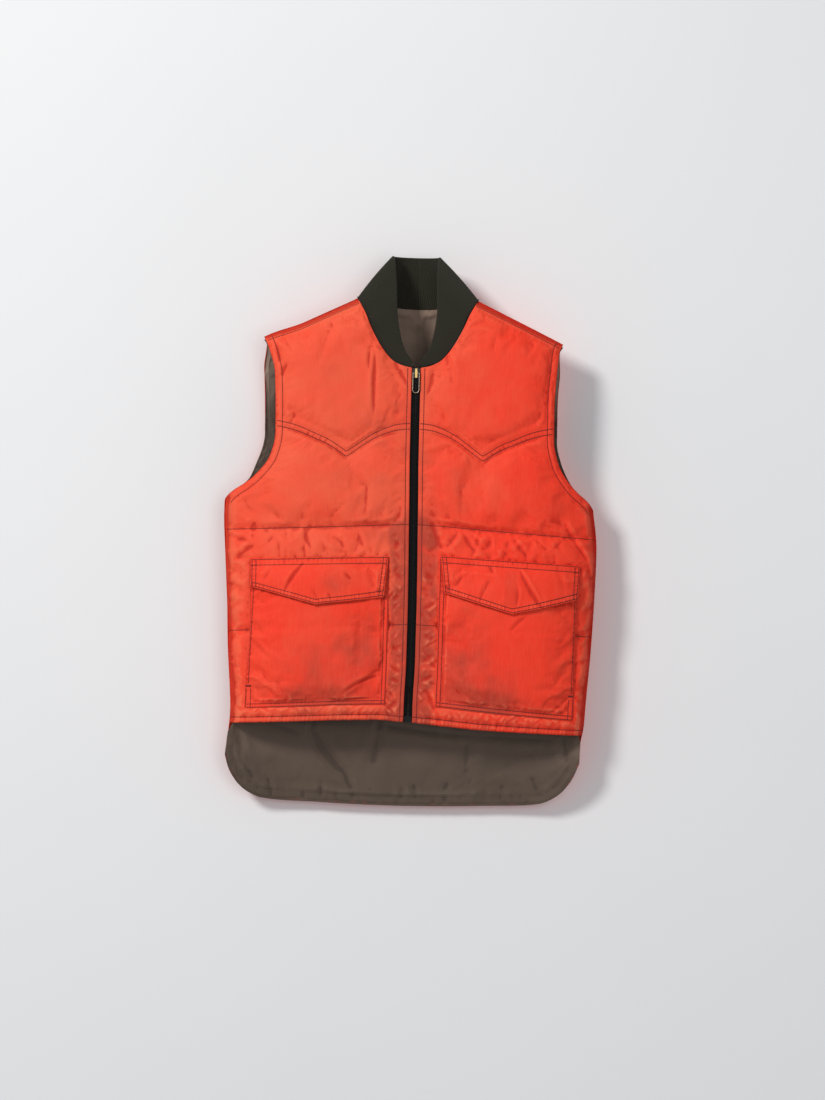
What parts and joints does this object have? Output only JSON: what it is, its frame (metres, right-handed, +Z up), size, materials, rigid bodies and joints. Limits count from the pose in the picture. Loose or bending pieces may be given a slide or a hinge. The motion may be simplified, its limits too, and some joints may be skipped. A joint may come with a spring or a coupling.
{
  "type": "quilted field vest",
  "caption": "Quilted blaze orange vest with western yokes, flapped patch pockets, rib collar, long back tail and a front zip.",
  "frame": {"origin": "bottom centre of the vest's box: on the zip line, halfway between the flaps and the back, at the tail's lowest edge", "axes": "+Z up towards the collar, front faces -Y, +X is the wearer's left side as seen from the front on the right, zip line at X = 0"},
  "size_m": [0.5416, 0.0974, 0.8037],
  "materials": {
    "shell_nylon": "faded blaze orange nylon taffeta, slightly shiny, puckered along its stitching",
    "lining_nylon": "olive-brown nylon lining, matt sheen",
    "wadding": "matt polyester wadding",
    "rib_knit": "dark olive rib knit, matt",
    "zip_tape": "black woven tape",
    "zip_plastic": "black moulded nylon",
    "slider_black": "black enamel, worn at the edges",
    "brass": "brass-coloured wire, slightly tarnished",
    "hook_and_loop": "hook-and-loop strip, matt"
  },
  "bodies": {
    "root": {"back_shell": "shell_nylon", "back_fill": "wadding", "back_lining": "lining_nylon", "front_left_shell": "shell_nylon", "front_left_fill": "wadding", "front_left_lining": "lining_nylon", "front_right_shell": "shell_nylon", "front_right_fill": "wadding", "front_right_lining": "lining_nylon", "yoke_left": "shell_nylon", "yoke_right": "shell_nylon", "pocket_left": "shell_nylon", "pocket_right": "shell_nylon", "pocket_backing_left": "lining_nylon", "pocket_backing_right": "lining_nylon", "pocket_loop_left": "hook_and_loop", "pocket_loop_right": "hook_and_loop", "collar_back": "rib_knit", "zip_tapes_lower": "zip_tape", "zip_teeth_lower": "zip_plastic", "retainer_box": "zip_plastic", "insertion_pin": "zip_plastic"},
    "lapel_left": {"lapel_left_shell": "shell_nylon", "lapel_left_fill": "wadding", "lapel_left_lining": "lining_nylon", "lapel_left_yoke": "shell_nylon", "collar_left": "rib_knit", "zip_tape_left": "zip_tape", "zip_teeth_left": "zip_plastic", "top_stop_left": "zip_plastic"},
    "lapel_right": {"lapel_right_shell": "shell_nylon", "lapel_right_fill": "wadding", "lapel_right_lining": "lining_nylon", "lapel_right_yoke": "shell_nylon", "collar_right": "rib_knit", "zip_tape_right": "zip_tape", "zip_teeth_right": "zip_plastic", "top_stop_right": "zip_plastic"},
    "slider": {"slider_body": "slider_black", "slider_rail": "brass"},
    "pull": {"pull_loop": "brass"},
    "flap_left": {"flap_left": "shell_nylon", "flap_hook_left": "hook_and_loop"},
    "flap_right": {"flap_right": "shell_nylon", "flap_hook_right": "hook_and_loop"}
  },
  "joints": [
    {"name": "zip_slide", "type": "slide", "parent": "root", "child": "slider", "axis": [0, 0, -1], "range_m": [0, 0.48]},
    {"name": "pull_swing", "type": "hinge", "parent": "slider", "child": "pull", "pos_m": [0, -0.04435, 0.632], "axis": [-1, 0, 0], "range_deg": [0, 150]},
    {"name": "lapel_left_fold", "type": "hinge", "parent": "root", "child": "lapel_left", "pos_m": [0, -0.0398, 0.13], "axis": [0.1428, 0, -0.9898], "range_deg": [0, 95]},
    {"name": "lapel_right_fold", "type": "hinge", "parent": "root", "child": "lapel_right", "pos_m": [0, -0.0398, 0.13], "axis": [0.1428, 0, 0.9898], "range_deg": [0, 95]},
    {"name": "flap_left_lift", "type": "hinge", "parent": "root", "child": "flap_left", "pos_m": [-0.139, -0.04075, 0.358], "axis": [-0.9948, 0.0916, -0.0443], "range_deg": [0, 75]},
    {"name": "flap_right_lift", "type": "hinge", "parent": "root", "child": "flap_right", "pos_m": [0.139, -0.04075, 0.358], "axis": [-0.9948, -0.0916, 0.0443], "range_deg": [0, 75]}
  ],
  "couplings": [
    {"joint": "lapel_left_fold", "follows": "zip_slide", "rad_per_m": 3.4543},
    {"joint": "lapel_right_fold", "follows": "zip_slide", "rad_per_m": 3.4543}
  ]
}
